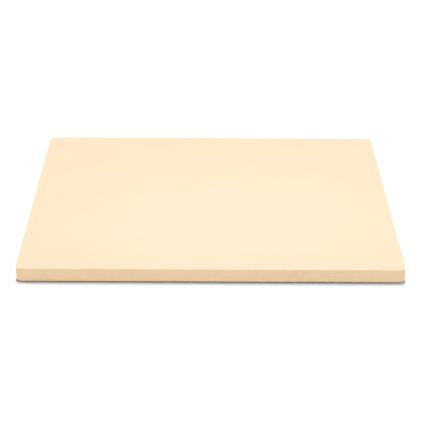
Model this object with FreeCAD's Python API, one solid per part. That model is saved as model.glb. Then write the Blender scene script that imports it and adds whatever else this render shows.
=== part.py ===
# Rectangular pizza stone: one slab of cordierite, pressed in a mould and fired in one piece.
# Millimetres, +Z up, +X along the long side. The origin is the middle of the underside,
# the face that lies on the oven rack, and the baking face is the top.

import FreeCAD, Part
import math
import os

# Driving dimensions
slab_width = 380.0  # long side, along X
slab_depth = 300.0  # short side, along Y
slab_thickness = 15.0  # underside to baking face, along Z
corner_radius = 6.0  # upright corners, seen from above
baking_edge_radius = 0.7  # crisp edge round the baking face, only rubbed smooth
underside_bevel_height = 1.0  # bevel that the mould leaves round the underside, measured up the sides
underside_bevel_width = 1.5  # the same bevel, measured in across the underside

# The edge and the bevel each stay under this share of the thickness, so the sides keep an upright band.
thickness_limit_share = 0.45

# The bevel stays narrower than this share of the corner radius, so the underside keeps round corners.
corner_limit_share = 0.9

quarter_turn = 90  # degrees


def corner_arc(centre, start_degrees, radius):
    """A quarter circle about centre, turning anticlockwise from start_degrees."""
    points = []
    for turned in (0, quarter_turn / 2, quarter_turn):
        angle = math.radians(start_degrees + turned)
        points.append(centre + FreeCAD.Vector(math.cos(angle), math.sin(angle), 0) * radius)
    return Part.Arc(*points).toShape()


def rounded_outline(width, depth, radius):
    """A closed rectangle with round corners, centred on the origin, in the plane of the underside."""
    x = width / 2 - radius
    y = depth / 2 - radius
    centres = [(x, y), (-x, y), (-x, -y), (x, -y)]
    arcs = []
    for number, (centre_x, centre_y) in enumerate(centres):
        arcs.append(corner_arc(FreeCAD.Vector(centre_x, centre_y, 0), number * quarter_turn, radius))
    edges = []
    for arc, following in zip(arcs, arcs[1:] + arcs[:1]):
        edges.append(arc)
        edges.append(Part.LineSegment(arc.lastVertex().Point, following.firstVertex().Point).toShape())
    return Part.Wire(edges)


def height_of(face):
    """The height of the face's centre."""
    return face.CenterOfMass.z


def bevel_underside(shape):
    """The shape with a flat bevel round its lowest face."""
    underside = min(shape.Faces, key=height_of)
    height = min(underside_bevel_height, thickness_limit_share * slab_thickness)
    width = min(underside_bevel_width, corner_limit_share * corner_radius)
    return shape.makeChamfer(height, width, underside.Edges)


def round_baking_edge(shape):
    """The shape with the outline of its highest face rounded."""
    baking_face = max(shape.Faces, key=height_of)
    radius = min(baking_edge_radius, thickness_limit_share * slab_thickness)
    return shape.makeFillet(radius, baking_face.Edges)


def make_stone_slab():
    """The pressed block, bevelled round the underside and rubbed smooth round the baking face."""
    outline = rounded_outline(slab_width, slab_depth, corner_radius)
    block = Part.Face(outline).extrude(FreeCAD.Vector(0, 0, slab_thickness))
    return round_baking_edge(bevel_underside(block)).Solids[0]


def main():
    os.makedirs("parts", exist_ok=True)
    make_stone_slab().exportStep("parts/stone_slab.step")


main()
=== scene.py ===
import math
import random

import bpy
from mathutils import Matrix, Vector, noise


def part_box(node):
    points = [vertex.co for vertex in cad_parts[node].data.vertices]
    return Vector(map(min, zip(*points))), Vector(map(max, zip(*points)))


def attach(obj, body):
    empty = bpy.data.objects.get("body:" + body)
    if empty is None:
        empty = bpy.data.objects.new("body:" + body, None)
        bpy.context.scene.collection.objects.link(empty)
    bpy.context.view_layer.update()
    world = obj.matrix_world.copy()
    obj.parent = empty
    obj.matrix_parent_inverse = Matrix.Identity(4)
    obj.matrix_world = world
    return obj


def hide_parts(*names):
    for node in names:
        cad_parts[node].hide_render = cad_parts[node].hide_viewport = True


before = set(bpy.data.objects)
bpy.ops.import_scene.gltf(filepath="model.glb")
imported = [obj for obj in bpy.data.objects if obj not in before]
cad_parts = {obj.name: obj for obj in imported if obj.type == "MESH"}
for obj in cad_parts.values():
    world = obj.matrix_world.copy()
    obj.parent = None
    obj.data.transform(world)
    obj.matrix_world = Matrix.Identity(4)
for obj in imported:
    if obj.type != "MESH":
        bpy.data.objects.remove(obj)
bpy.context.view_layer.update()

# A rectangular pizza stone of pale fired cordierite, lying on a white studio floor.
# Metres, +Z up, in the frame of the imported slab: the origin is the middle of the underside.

# Slab sizes: the box comes from the solid, and the radii and the bevel repeat the solid's own
slab_low, slab_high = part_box("stone_slab")
slab_width = slab_high.x - slab_low.x
slab_depth = slab_high.y - slab_low.y
slab_thickness = slab_high.z - slab_low.z
corner_radius = 0.006
baking_edge_radius = 0.0007
underside_bevel_height = 0.0010
underside_bevel_width = 0.0015
arris_radius = 0.0002  # the bevel's two arrises, rubbed a little round

# Seed of the places and sizes of the pores and nicks
random_seed = 11

# Mesh resolution
cell_size = 0.004  # squares of the wide faces and of the sides
edge_splits = 5  # steps along an eased edge to each square beside it
corner_steps = 12  # steps round an upright corner
edge_steps = 6  # steps across the baking face's rounded edge
arris_steps = 3  # steps across each arris of the bevel
support_gap = 0.0004  # flat ring beside an eased edge, which keeps the flat face's shading level
side_margin = 0.0012  # upright strip between an eased edge and the squares of a side

# Unevenness of the pressed and rubbed surface, always inwards from the solid
broad_size, broad_depth = 0.09, 0.00006
fine_size, fine_depth = 0.012, 0.00002
wear_size, wear_depth = 0.009, 0.00007

# Pores, each in one square of the mesh
pore_points = 12  # round a pore's mouth, three to each side of its square
pore_ring_shares = [1.35, 1.0, 0.84, 0.6, 0.3]  # radii of its rings, the first a level one round the mouth
pore_depth_shares = [0.0, 0.0, 0.12, 0.62, 0.95]  # depths of the same rings
pore_wobble_shares = [0.13, 0.07]  # how far a pore's mouth departs from a circle, as an oval and a trefoil
oval_lobes = 2  # a trefoil has one more
pore_depth_share = 0.6  # depth of a pore to its radius
pore_offset_share = 0.22  # how far a pore strays from the middle of its square
pore_radius_range = (0.00015, 0.0003)
baking_pores = 240
underside_pores = 260
side_pores = 110

# Nicks along the eased edges
baking_edge_nicks = 6
underside_edge_nicks = 16
nick_radius_range = (0.0012, 0.0022)
nick_depth_share = 0.12  # depth of a nick to its radius

# Map through which the material can be baked, with the slab's six sides stacked as rows
bake_map_name = "OFBake"
bake_map_gap = 0.004  # between rows, in the slab's own size
bake_map_middle_share = 0.5  # of the map's width
upright_row_scale = 2.0  # the upright sides' rows are drawn that much taller

# Camera, fitted to the edges of the slab in the photograph
image_size = 423
focal_pixels = 1200.3
sensor_width_mm = 36.0
camera_place = Vector((-0.0035, -1.1443, 0.6205))
camera_pitch = math.radians(28.584)
camera_yaw = math.radians(-0.224)
camera_roll = math.radians(-0.358)

# Faint wider pores that the photograph shows on the baking face, in its pixels
photo_pores = [
    (168, 152), (310, 148), (257, 173), (182, 180), (188, 180), (292, 180), (172, 193),
    (58, 198), (73, 203), (48, 208), (93, 220), (323, 235), (262, 243), (300, 245),
    (242, 245), (250, 253), (380, 253), (212, 260), (132, 262),
]
photo_pore_radius_range = (0.00040, 0.00055)
photo_pore_offset_share = 0.4  # how far such a pore goes from the middle of its square to its own place
photo_pore_stain_share = 0.3  # tone of the faint stain round it, which fades out within its square

# Colours of the stone, linear
# The baking face's colours and the sides' deeper, more saturated one are a lit and a shaded copy of one
# stone colour: painted light and shade
baking_lit_colour = (0.955, 0.820, 0.592, 1.0)
baking_rim_shade_colour = (0.945, 0.767, 0.541, 1.0)
side_colour = (0.960, 0.710, 0.440, 1.0)
underside_colour = (0.90, 0.75, 0.53, 1.0)

# A painted pool of light: the baking face is palest at one place, and deepens towards its rim over these
# reaches, in painted shade
painted_light_place = (0.035, -0.056, 0.0)
painted_light_reach = (0.29, 0.20, 1.0)
painted_light_limit_shares = (0.2, 1.1)

# A surface takes the baking face's or the underside's colour as its normal rises or falls between these,
# and the sides' colour between them, so that light and shade are painted by the way it faces
facing_limits = (0.45, 0.9)

# Patterns in the stone: their sizes, and the tints that they multiply its colour by
noise_range = (0.3, 0.7)  # where most of a cloudy noise's values lie
cloud_size, cloud_tint = 0.05, (1.0, 0.988, 0.982, 1.0)
mottle_size, mottle_tint = 0.012, (0.972, 0.965, 0.955, 1.0)
sand_size, sand_shades, sand_depth = 0.0005, (0.96, 1.04), 0.000035
sand_detail, sand_roughness = 3.0, 0.6
swell_size, swell_depth = 0.004, 0.00004
grain_spacing, grain_radius, grain_tint = 0.011, 0.00055, (0.95, 0.925, 0.89, 1.0)
grain_chosen_share = 0.27
# The pinholes' darker tint is painted shade in the small holes that the bump dents
pinhole_spacing, pinhole_radius, pinhole_shade_tint = 0.0032, 0.00018, (0.90, 0.86, 0.80, 1.0)
pinhole_chosen_share, pinhole_depth = 0.5, 0.00006
spot_heart_share = 0.4  # radius of the full tone at the heart of a grain or pinhole
# The pores' tint darkens them in painted shade that deepens towards their floors, and in a faint stain
# round the wider ones
pore_shade_and_stain_tint = (0.95, 0.92, 0.88, 1.0)
stone_roughness = (0.76, 0.90)
stone_ior = 1.5

# Studio. A level of 1 lights a face square to the lamp just as bright as its colour, and angles are degrees
front_azimuth = 0
back_azimuth = 180
world_level = 0.05
key_level, key_elevation, key_distance = 0.89, 79, 10.0
key_size = (1.0, 5.6)
front_fill_level, front_fill_elevation, front_fill_spread = 0.66, 5.5, 11
side_fill_level, side_fill_elevation, side_fill_spread = 0.58, 4, 8
side_fill_azimuth = 115
floor_size = 2.4
floor_colour = (0.35, 0.35, 0.35, 1.0)
floor_seen_colour = (1.12, 1.12, 1.12, 1.0)
world_seen_colour = (1.0, 1.0, 1.0, 1.0)

quarter_turn = math.pi / 2
full_turn = 2 * math.pi
up = Vector((0, 0, 1))
back = Vector((0, 1, 0))
right = Vector((1, 0, 0))
chance = random.Random(random_seed)


def make_camera():
    """The camera at the photograph's viewpoint."""
    data = bpy.data.cameras.new("camera")
    data.sensor_width = sensor_width_mm
    data.lens = focal_pixels / image_size * sensor_width_mm
    camera = bpy.data.objects.new("camera", data)
    turn = Matrix.Rotation(camera_yaw, 4, "Z")
    turn = turn @ Matrix.Rotation(quarter_turn - camera_pitch, 4, "X")
    turn = turn @ Matrix.Rotation(-camera_roll, 4, "Z")
    camera.matrix_world = Matrix.Translation(camera_place) @ turn
    bpy.context.scene.collection.objects.link(camera)
    bpy.context.scene.camera = camera
    return camera


def on_baking_face(camera, pixel):
    """The point of the baking face that the camera sees at a pixel of the photograph."""
    centre = image_size / 2
    ray = Vector((pixel[0] - centre, centre - pixel[1], -focal_pixels))
    ray = camera.matrix_world.to_3x3() @ ray
    return camera_place + ray * ((slab_thickness - camera_place.z) / ray.z)


class Skin:
    """Points with outward normals, and the faces between them, gathered before the mesh is made."""

    def __init__(self):
        self.points = []
        self.normals = []
        self.worn_shares = []
        self.pore_shares = []
        self.faces = []

    def add(self, point, normal, worn=0.0, pore=0.0):
        """Adds a point and returns its number. worn says how far an edge's wear reaches it."""
        self.points.append(Vector(point))
        self.normals.append(Vector(normal))
        self.worn_shares.append(worn)
        self.pore_shares.append(pore)
        return len(self.points) - 1

    def face(self, numbers):
        """Adds a face, without the repeats that a corner's collapsed points leave in it."""
        self.faces.append([n for i, n in enumerate(numbers) if n != numbers[i - 1]])

    def middle(self, numbers):
        """The mean of some points."""
        return sum((self.points[n] for n in numbers), Vector()) / len(numbers)


inner_x = slab_width / 2 - corner_radius
inner_y = slab_depth / 2 - corner_radius
cells_x = round(2 * inner_x / cell_size)
cells_y = round(2 * inner_y / cell_size)
side_cells = [cells_x, cells_y, cells_x, cells_y]


def outline_stations(splits):
    """Places round the slab's outline, anticlockwise. Each is a point of the rectangle through the
    corners' centres and the level way out from it, with so many splits to a square of the mesh."""
    corners = [(inner_x, inner_y), (-inner_x, inner_y), (-inner_x, -inner_y), (inner_x, -inner_y)]
    corners = [Vector((x, y, 0)) for x, y in corners]
    stations = []
    for number, corner in enumerate(corners):
        for step in range(corner_steps + 1):
            angle = (number + step / corner_steps) * quarter_turn
            outward = Vector((math.cos(angle), math.sin(angle), 0))
            stations.append((corner, outward))
        following = corners[(number + 1) % len(corners)]
        steps = side_cells[number] * splits
        for step in range(1, steps):
            stations.append((corner.lerp(following, step / steps), outward))
    return stations


def ring(skin, stations, inset, height, tilt, worn=0.0):
    """A ring of points, set in from the outline. tilt is the angle of its normals above level."""
    numbers = []
    for base, outward in stations:
        point = base + outward * (corner_radius - inset)
        point.z = height
        normal = outward * math.cos(tilt) + up * math.sin(tilt)
        numbers.append(skin.add(point, normal, worn))
    return numbers


def rounding(skin, stations, radius, centre_inset, centre_height, tilts, steps):
    """Rings across a rounded arris, whose normals turn from the first tilt to the second."""
    rings = []
    for step in range(steps + 1):
        share = step / steps
        tilt = tilts[0] + (tilts[1] - tilts[0]) * share
        inset = centre_inset - radius * math.cos(tilt)
        height = centre_height + radius * math.sin(tilt)
        rings.append(ring(skin, stations, inset, height, tilt, worn=math.sin(math.pi * share)))
    return rings


def baking_edge(skin, stations):
    """The rings across the baking face's rounded edge, from the face down to the side."""
    radius = baking_edge_radius
    centre_height = slab_thickness - radius
    rings = [ring(skin, stations, radius + support_gap, slab_thickness, quarter_turn)]
    rings += rounding(skin, stations, radius, radius, centre_height, (quarter_turn, 0), edge_steps)
    return rings


def underside_edge(skin, stations):
    """The rings across the underside's bevelled edge, from the side down to the face."""
    radius = arris_radius
    slope = math.atan2(underside_bevel_width, underside_bevel_height)
    upper_height = underside_bevel_height + radius * math.tan(slope / 2)
    lower_inset = underside_bevel_width + radius * math.tan((quarter_turn - slope) / 2)
    rings = rounding(skin, stations, radius, radius, upper_height, (0, -slope), arris_steps)
    rings += rounding(skin, stations, radius, lower_inset, radius, (-slope, -quarter_turn), arris_steps)
    rings.append(ring(skin, stations, lower_inset + support_gap, 0, -quarter_turn))
    return rings


def join_rings(skin, upper, lower):
    """Faces between two rings of as many points."""
    for i in range(len(upper)):
        skin.face([upper[i - 1], lower[i - 1], lower[i], upper[i]])


def join_graded(skin, coarse, fine, coarse_above):
    """Faces between a ring at the squares' spacing and one at the eased edges' finer spacing."""
    spans = []
    for cells in side_cells:
        spans += [1] * corner_steps + [edge_splits] * cells
    start = 0
    for i, span in enumerate(spans):
        run = [fine[(start + step) % len(fine)] for step in range(span + 1)]
        pair = [coarse[i], coarse[(i + 1) % len(coarse)]]
        if coarse_above:
            skin.face([pair[0]] + run + [pair[1]])
        else:
            skin.face(pair + run[::-1])
        start += span


def add_pore(skin, corners, radius, centre, stain_share=0.0):
    """A square with a small rounded pit in it. centre is the middle of the pit's mouth."""
    normal = skin.normals[corners[0]]
    along = (skin.points[corners[1]] - skin.points[corners[0]]).normalized()
    across = normal.cross(along)
    first_angle = -quarter_turn * 3 / 2  # towards the square's first corner
    phases = [chance.uniform(0, full_turn) for _ in pore_wobble_shares]
    rings = []
    for ring_share, depth_share in zip(pore_ring_shares, pore_depth_shares):
        numbers = []
        for step in range(pore_points):
            angle = first_angle + full_turn * step / pore_points
            reach = radius * ring_share
            for lobes, (wobble, phase) in enumerate(zip(pore_wobble_shares, phases), start=oval_lobes):
                reach += radius * ring_share * wobble * math.cos(lobes * angle + phase)
            point = centre + (along * math.cos(angle) + across * math.sin(angle)) * reach
            point -= normal * (radius * pore_depth_share * depth_share)
            # A point's pore share darkens its colour: the larger of its depth, for painted shade, and the
            # stain round a wider pore
            numbers.append(skin.add(point, normal, pore=max(depth_share, stain_share)))
        rings.append(numbers)
    floor = skin.add(centre - normal * (radius * pore_depth_share), normal, pore=1.0)

    sides = len(corners)
    mouth = rings[0] + rings[0][:1]
    for side in range(sides):
        start, end = corners[side], corners[(side + 1) % sides]
        first = side * pore_points // sides
        skin.face([start, mouth[first + 1], mouth[first]])
        skin.face([start, end, mouth[first + 2], mouth[first + 1]])
        skin.face([end, mouth[first + 3], mouth[first + 2]])
    for outer, inner in zip(rings, rings[1:]):
        join_rings(skin, inner, outer)
    for i in range(pore_points):
        skin.face([rings[-1][i - 1], rings[-1][i], floor])


def add_squares(skin, squares, pores):
    """The squares of one face, plain or with the pore that pores gives for them."""
    for corners in squares:
        place = tuple(corners)
        if place in pores:
            add_pore(skin, corners, *pores[place])
        else:
            skin.face(corners)


def scattered_pores(skin, squares, count, taken):
    """Pores at random in that many of the squares, beside those that are taken."""
    free = [corners for corners in squares if tuple(corners) not in taken]
    for corners in chance.sample(free, count):
        along = skin.points[corners[1]] - skin.points[corners[0]]
        across = skin.points[corners[3]] - skin.points[corners[0]]
        centre = skin.middle(corners) + along * chance.uniform(-pore_offset_share, pore_offset_share)
        centre += across * chance.uniform(-pore_offset_share, pore_offset_share)
        taken[tuple(corners)] = (chance.uniform(*pore_radius_range), centre)
    return taken


def wide_face(skin, stations, height, outward):
    """The grid of a wide face. Returns its outer ring, at the stations, and its squares."""
    grid = []
    for row in range(cells_y + 1):
        y = -inner_y + 2 * inner_y * row / cells_y
        xs = [-inner_x + 2 * inner_x * column / cells_x for column in range(cells_x + 1)]
        grid.append([skin.add((x, y, height), outward) for x in xs])
    border = []
    for base, _ in stations:
        row = round((base.y + inner_y) / (2 * inner_y) * cells_y)
        column = round((base.x + inner_x) / (2 * inner_x) * cells_x)
        border.append(grid[row][column])
    squares = []
    for row in range(cells_y):
        for column in range(cells_x):
            square = [grid[row][column], grid[row][column + 1]]
            square += [grid[row + 1][column + 1], grid[row + 1][column]]
            squares.append(square if outward.z > 0 else square[::-1])
    return border, squares


def photographed_pores(skin, squares, camera):
    """The pores that the photograph shows, each in the square of the baking face that holds it."""
    pores = {}
    for pixel in photo_pores:
        point = on_baking_face(camera, pixel)
        column = math.floor((point.x + inner_x) / (2 * inner_x) * cells_x)
        row = math.floor((point.y + inner_y) / (2 * inner_y) * cells_y)
        corners = squares[row * cells_x + column]
        centre = skin.middle(corners).lerp(point, photo_pore_offset_share)
        radius = chance.uniform(*photo_pore_radius_range)
        pores[tuple(corners)] = (radius, centre, photo_pore_stain_share)
    return pores


def side_squares(skin, rings):
    """The squares of the upright sides, between their rings. Returns all, and the broad ones."""
    squares = []
    for upper, lower in zip(rings, rings[1:]):
        for i in range(len(upper)):
            squares.append([upper[i - 1], lower[i - 1], lower[i], upper[i]])
    half_cell = cell_size / 2
    broad = [s for s in squares if (skin.points[s[0]] - skin.points[s[3]]).length > half_cell]
    return squares, broad


def edge_nicks(skin, rings, count):
    """Small nicks on an eased edge: the place, radius and deepest push of each."""
    middle_ring = rings[len(rings) // 2]
    nicks = []
    for number in chance.sample(middle_ring, count):
        radius = chance.uniform(*nick_radius_range)
        push = skin.normals[number] * (-radius * nick_depth_share)
        nicks.append((skin.points[number], radius, push))
    return nicks


def unevenness(point, size):
    """Cloudy noise from 0 to 1, with features of about that size."""
    return (1 + noise.noise(point / size)) / 2


def dent(point, worn):
    """How far the uneven surface lies inside the solid at a point."""
    total = broad_depth * unevenness(point, broad_size)
    total += fine_depth * unevenness(point, fine_size)
    total += worn * wear_depth * unevenness(point, wear_size)
    return total


def nicked(point, nicks):
    """How the nicks push a point, each straight into its edge."""
    total = Vector()
    for place, radius, push in nicks:
        distance = (point - place).length / radius
        if distance < 1:
            total += push * (1 - distance ** 2) ** 2
    return total


def make_bake_map(mesh, normals):
    """Lays each face of the mesh on the row of the side that it faces most."""
    middle = (slab_low + slab_high) / 2
    size = slab_high - slab_low
    sides = [(up, back, 1.0), (-up, back, 1.0)]
    sides += [(outward, up, upright_row_scale) for outward in (right, back, -right, -back)]
    rows = []
    filled = 0.0
    for outward, rise, scale in sides:
        across = rise.cross(outward)
        width = abs(size.dot(across)) + bake_map_gap
        height = abs(size.dot(rise)) * scale + bake_map_gap
        rows.append((outward, across / width, rise * scale, filled + height / 2))
        filled += height

    places = mesh.uv_layers.new(name=bake_map_name).uv
    for face in mesh.polygons:
        facing = sum((normals[number] for number in face.vertices), Vector())
        _, across, rise, row_middle = max(rows, key=lambda row: facing.dot(row[0]))
        for corner in face.loop_indices:
            point = mesh.vertices[mesh.loops[corner].vertex_index].co - middle
            u = bake_map_middle_share + point.dot(across)
            v = (row_middle + point.dot(rise)) / filled
            places[corner].vector = (u, v)


def make_stone(camera):
    """The slab as one closed mesh, with its eased edges, pores, nicks and slight unevenness."""
    skin = Skin()
    coarse = outline_stations(1)
    fine = outline_stations(edge_splits)

    border, squares = wide_face(skin, coarse, slab_thickness, up)
    pores = photographed_pores(skin, squares, camera)
    add_squares(skin, squares, scattered_pores(skin, squares, baking_pores, pores))
    upper_edge = baking_edge(skin, fine)
    join_graded(skin, border, upper_edge[0], True)

    side_high = slab_thickness - baking_edge_radius - side_margin
    side_low = underside_bevel_height + arris_radius + side_margin
    side_rows = round((side_high - side_low) / cell_size)
    side_rings = []
    for row in range(side_rows + 1):
        height = side_high + (side_low - side_high) * row / side_rows
        side_rings.append(ring(skin, coarse, 0, height, 0))
    join_graded(skin, side_rings[0], upper_edge[-1], False)
    squares, broad = side_squares(skin, side_rings)
    add_squares(skin, squares, scattered_pores(skin, broad, side_pores, {}))

    lower_edge = underside_edge(skin, fine)
    join_graded(skin, side_rings[-1], lower_edge[0], True)
    border, squares = wide_face(skin, coarse, 0, -up)
    join_graded(skin, border, lower_edge[-1], False)
    add_squares(skin, squares, scattered_pores(skin, squares, underside_pores, {}))
    for rings in (upper_edge, lower_edge):
        for upper, lower in zip(rings, rings[1:]):
            join_rings(skin, upper, lower)

    nicks = edge_nicks(skin, upper_edge, baking_edge_nicks)
    nicks += edge_nicks(skin, lower_edge, underside_edge_nicks)
    placed = []
    for point, normal, worn in zip(skin.points, skin.normals, skin.worn_shares):
        placed.append(point - normal * dent(point, worn) + nicked(point, nicks))

    mesh = bpy.data.meshes.new("pizza_stone")
    mesh.from_pydata(placed, [], skin.faces)
    mesh.polygons.foreach_set("use_smooth", [True] * len(mesh.polygons))
    pore = mesh.attributes.new("pore", "FLOAT", "POINT")
    pore.data.foreach_set("value", skin.pore_shares)
    mesh.materials.append(cordierite())
    mesh.validate()
    make_bake_map(mesh, skin.normals)
    stone = bpy.data.objects.new("pizza_stone", mesh)
    stone.visible_diffuse = False  # the floor takes no colour from the stone
    bpy.context.scene.collection.objects.link(stone)
    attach(stone, "root")
    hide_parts("stone_slab")


# Colour sockets of a Mix node, by number, because its sockets for other kinds of value share their names
share_socket, first_socket, second_socket, result_socket = 0, 6, 7, 2


class Graph:
    """Adds nodes to one node tree. An input is a plain value or another node's output."""

    def __init__(self, tree):
        self.tree = tree
        tree.nodes.clear()

    def add(self, kind, inputs, **settings):
        """Adds a node and returns it."""
        made = self.tree.nodes.new(kind)
        for name, value in settings.items():
            setattr(made, name, value)
        for key, value in inputs.items():
            if isinstance(value, bpy.types.NodeSocket):
                self.tree.links.new(value, made.inputs[key])
            else:
                made.inputs[key].default_value = value
        return made

    def calculate(self, operation, first, second):
        """One step of arithmetic."""
        return self.add("ShaderNodeMath", {0: first, 1: second}, operation=operation).outputs[0]

    def vector(self, operation, first, second):
        """One step of arithmetic on vectors."""
        return self.add("ShaderNodeVectorMath", {0: first, 1: second}, operation=operation).outputs[0]

    def length(self, vector):
        """The length of a vector."""
        return self.add("ShaderNodeVectorMath", {0: vector}, operation="LENGTH").outputs["Value"]

    def blend(self, share, first, second, mode="MIX"):
        """Two colours mixed."""
        inputs = {share_socket: share, first_socket: first, second_socket: second}
        mixed = self.add("ShaderNodeMix", inputs, data_type="RGBA", blend_type=mode)
        return mixed.outputs[result_socket]

    def tint(self, share, colour, by):
        """A colour, and its product with another where the share is 1."""
        return self.blend(share, colour, by, "MULTIPLY")

    def rescale(self, value, limits, results=(0.0, 1.0)):
        """A value between two limits, eased onto another range."""
        inputs = {"Value": value, "From Min": limits[0], "From Max": limits[1]}
        inputs.update({"To Min": results[0], "To Max": results[1]})
        return self.add("ShaderNodeMapRange", inputs, interpolation_type="SMOOTHSTEP").outputs[0]

    def noise(self, place, size, detail=2.0, roughness=0.5):
        """Cloudy noise with features of about that size."""
        inputs = {"Vector": place, "Scale": 1 / size, "Detail": detail, "Roughness": roughness}
        return self.add("ShaderNodeTexNoise", inputs).outputs[0]

    def spots(self, place, spacing, radius, chosen_share):
        """Scattered round spots, 1 at the heart of each and 0 outside, at a share of the points."""
        points = self.add("ShaderNodeTexVoronoi", {"Vector": place, "Scale": 1 / spacing})
        reach = radius / spacing
        near = self.rescale(points.outputs["Distance"], (reach, reach * spot_heart_share))
        lot = self.add("ShaderNodeSeparateColor", {0: points.outputs["Color"]}).outputs["Red"]
        chosen = self.calculate("LESS_THAN", lot, chosen_share)
        return self.calculate("MULTIPLY", near, chosen)

    def relief(self, layers):
        """A normal that shows layers of relief, each a pattern and its depth."""
        inputs = {"Strength": 1.0}
        for pattern, depth in layers:
            inputs.update({"Height": pattern, "Distance": depth})
            inputs["Normal"] = self.add("ShaderNodeBump", inputs).outputs[0]
        return inputs["Normal"]


def cordierite():
    """Pale fired cordierite: cream on the baking face, palest in a painted pool of light and deepening in
    painted shade towards its rim; deeper and faintly mottled on the sides, whose colour is a painted shaded
    copy of the face's; with soft clouds, sandy grain, a few darker grains, pinholes with painted shade, and
    pores with painted shade deepening to their floor and a faint stain round the wider ones."""
    material = bpy.data.materials.new("fired_cordierite")
    material.use_nodes = True
    graph = Graph(material.node_tree)
    coordinates = graph.add("ShaderNodeTexCoord", {})
    place = coordinates.outputs["Object"]
    rise = graph.add("ShaderNodeSeparateXYZ", {0: coordinates.outputs["Normal"]}).outputs["Z"]
    upward = graph.rescale(rise, facing_limits)
    downward = graph.rescale(rise, [-limit for limit in facing_limits])

    # A painted pool of light on the baking face, with painted shade towards its rim
    offset = graph.vector("DIVIDE", graph.vector("SUBTRACT", place, painted_light_place), painted_light_reach)
    rimward = graph.rescale(graph.length(offset), painted_light_limit_shares)
    baking = graph.blend(rimward, baking_lit_colour, baking_rim_shade_colour)
    mottle = graph.rescale(graph.noise(place, mottle_size), noise_range)
    # The sides' deeper colour is painted shade, a shaded copy of the stone's colour
    side = graph.tint(mottle, side_colour, mottle_tint)
    colour = graph.blend(upward, side, baking)
    colour = graph.blend(downward, colour, underside_colour)

    clouds = graph.rescale(graph.noise(place, cloud_size), noise_range)
    colour = graph.tint(clouds, colour, cloud_tint)
    sand = graph.noise(place, sand_size, sand_detail, sand_roughness)
    colour = graph.tint(1.0, colour, graph.rescale(sand, noise_range, sand_shades))
    grains = graph.spots(place, grain_spacing, grain_radius, grain_chosen_share)
    colour = graph.tint(grains, colour, grain_tint)
    pinholes = graph.spots(place, pinhole_spacing, pinhole_radius, pinhole_chosen_share)
    # Pinholes, darkened with painted shade where the bump dents them
    colour = graph.tint(pinholes, colour, pinhole_shade_tint)
    pore = graph.add("ShaderNodeAttribute", {}, attribute_name="pore").outputs["Fac"]
    # Painted shade in the pores, deepening with their depth, and a faint stain round the wider ones
    colour = graph.tint(pore, colour, pore_shade_and_stain_tint)

    swell = graph.noise(place, swell_size)
    level = graph.calculate("SUBTRACT", 1.0, pinholes)
    relief = graph.relief([(swell, swell_depth), (sand, sand_depth), (level, pinhole_depth)])
    roughness = graph.rescale(sand, noise_range, stone_roughness)
    inputs = {"Base Color": colour, "Roughness": roughness, "Normal": relief, "IOR": stone_ior}
    shader = graph.add("ShaderNodeBsdfPrincipled", inputs)
    graph.add("ShaderNodeOutputMaterial", {"Surface": shader.outputs[0]})
    return material


def background_rays(graph):
    """1 for rays from the camera, and for those seen in a reflection or through glass."""
    rays = graph.add("ShaderNodeLightPath", {}).outputs
    seen = graph.calculate("MAXIMUM", rays["Is Camera Ray"], rays["Is Glossy Ray"])
    return graph.calculate("MAXIMUM", seen, rays["Is Transmission Ray"])


def make_floor():
    """A white floor that keeps the slab's contact shadow and clears to white beyond it."""
    half = floor_size / 2
    corners = [(-half, -half, 0), (half, -half, 0), (half, half, 0), (-half, half, 0)]
    mesh = bpy.data.meshes.new("floor")
    mesh.from_pydata(corners, [], [range(len(corners))])
    material = bpy.data.materials.new("floor")
    material.use_nodes = True
    graph = Graph(material.node_tree)
    colour = graph.blend(background_rays(graph), floor_colour, floor_seen_colour)
    shader = graph.add("ShaderNodeBsdfDiffuse", {"Color": colour})
    graph.add("ShaderNodeOutputMaterial", {"Surface": shader.outputs[0]})
    mesh.materials.append(material)
    floor = bpy.data.objects.new("floor", mesh)
    bpy.context.scene.collection.objects.link(floor)


def make_world():
    """Even light from all round, seen as plain white."""
    world = bpy.data.worlds.new("studio")
    world.use_nodes = True
    graph = Graph(world.node_tree)
    level = (world_level, world_level, world_level, 1.0)
    colour = graph.blend(background_rays(graph), level, world_seen_colour)
    shader = graph.add("ShaderNodeBackground", {"Color": colour})
    graph.add("ShaderNodeOutputWorld", {"Surface": shader.outputs[0]})
    bpy.context.scene.world = world


def aim_lamp(data, azimuth, elevation, distance=1.0):
    """Places a lamp that shines on the origin. Azimuth goes anticlockwise from the front."""
    turn = math.radians(azimuth)
    rise = math.radians(elevation)
    level_way = Vector((math.sin(turn), -math.cos(turn), 0))
    from_place = level_way * math.cos(rise) + up * math.sin(rise)
    lamp = bpy.data.objects.new(data.name, data)
    lamp.rotation_mode = "QUATERNION"
    lamp.rotation_quaternion = from_place.to_track_quat("Z", "Y")
    lamp.location = from_place * distance
    bpy.context.scene.collection.objects.link(lamp)


def make_key():
    """A long narrow softbox overhead, which runs from front to back."""
    data = bpy.data.lights.new("key", "AREA")
    data.shape = "RECTANGLE"
    data.size, data.size_y = key_size
    data.energy = key_level * (math.pi * key_distance) ** 2
    aim_lamp(data, back_azimuth, key_elevation, key_distance)


def make_fill(name, level, azimuth, elevation, spread):
    """A broad distant lamp."""
    data = bpy.data.lights.new(name, "SUN")
    data.energy = level * math.pi
    data.angle = math.radians(spread)
    aim_lamp(data, azimuth, elevation)


make_stone(make_camera())
make_floor()
make_world()
make_key()
make_fill("front_fill", front_fill_level, front_azimuth, front_fill_elevation, front_fill_spread)
make_fill("left_fill", side_fill_level, -side_fill_azimuth, side_fill_elevation, side_fill_spread)
make_fill("right_fill", side_fill_level, side_fill_azimuth, side_fill_elevation, side_fill_spread)

bpy.context.scene.view_settings.view_transform = "Standard"
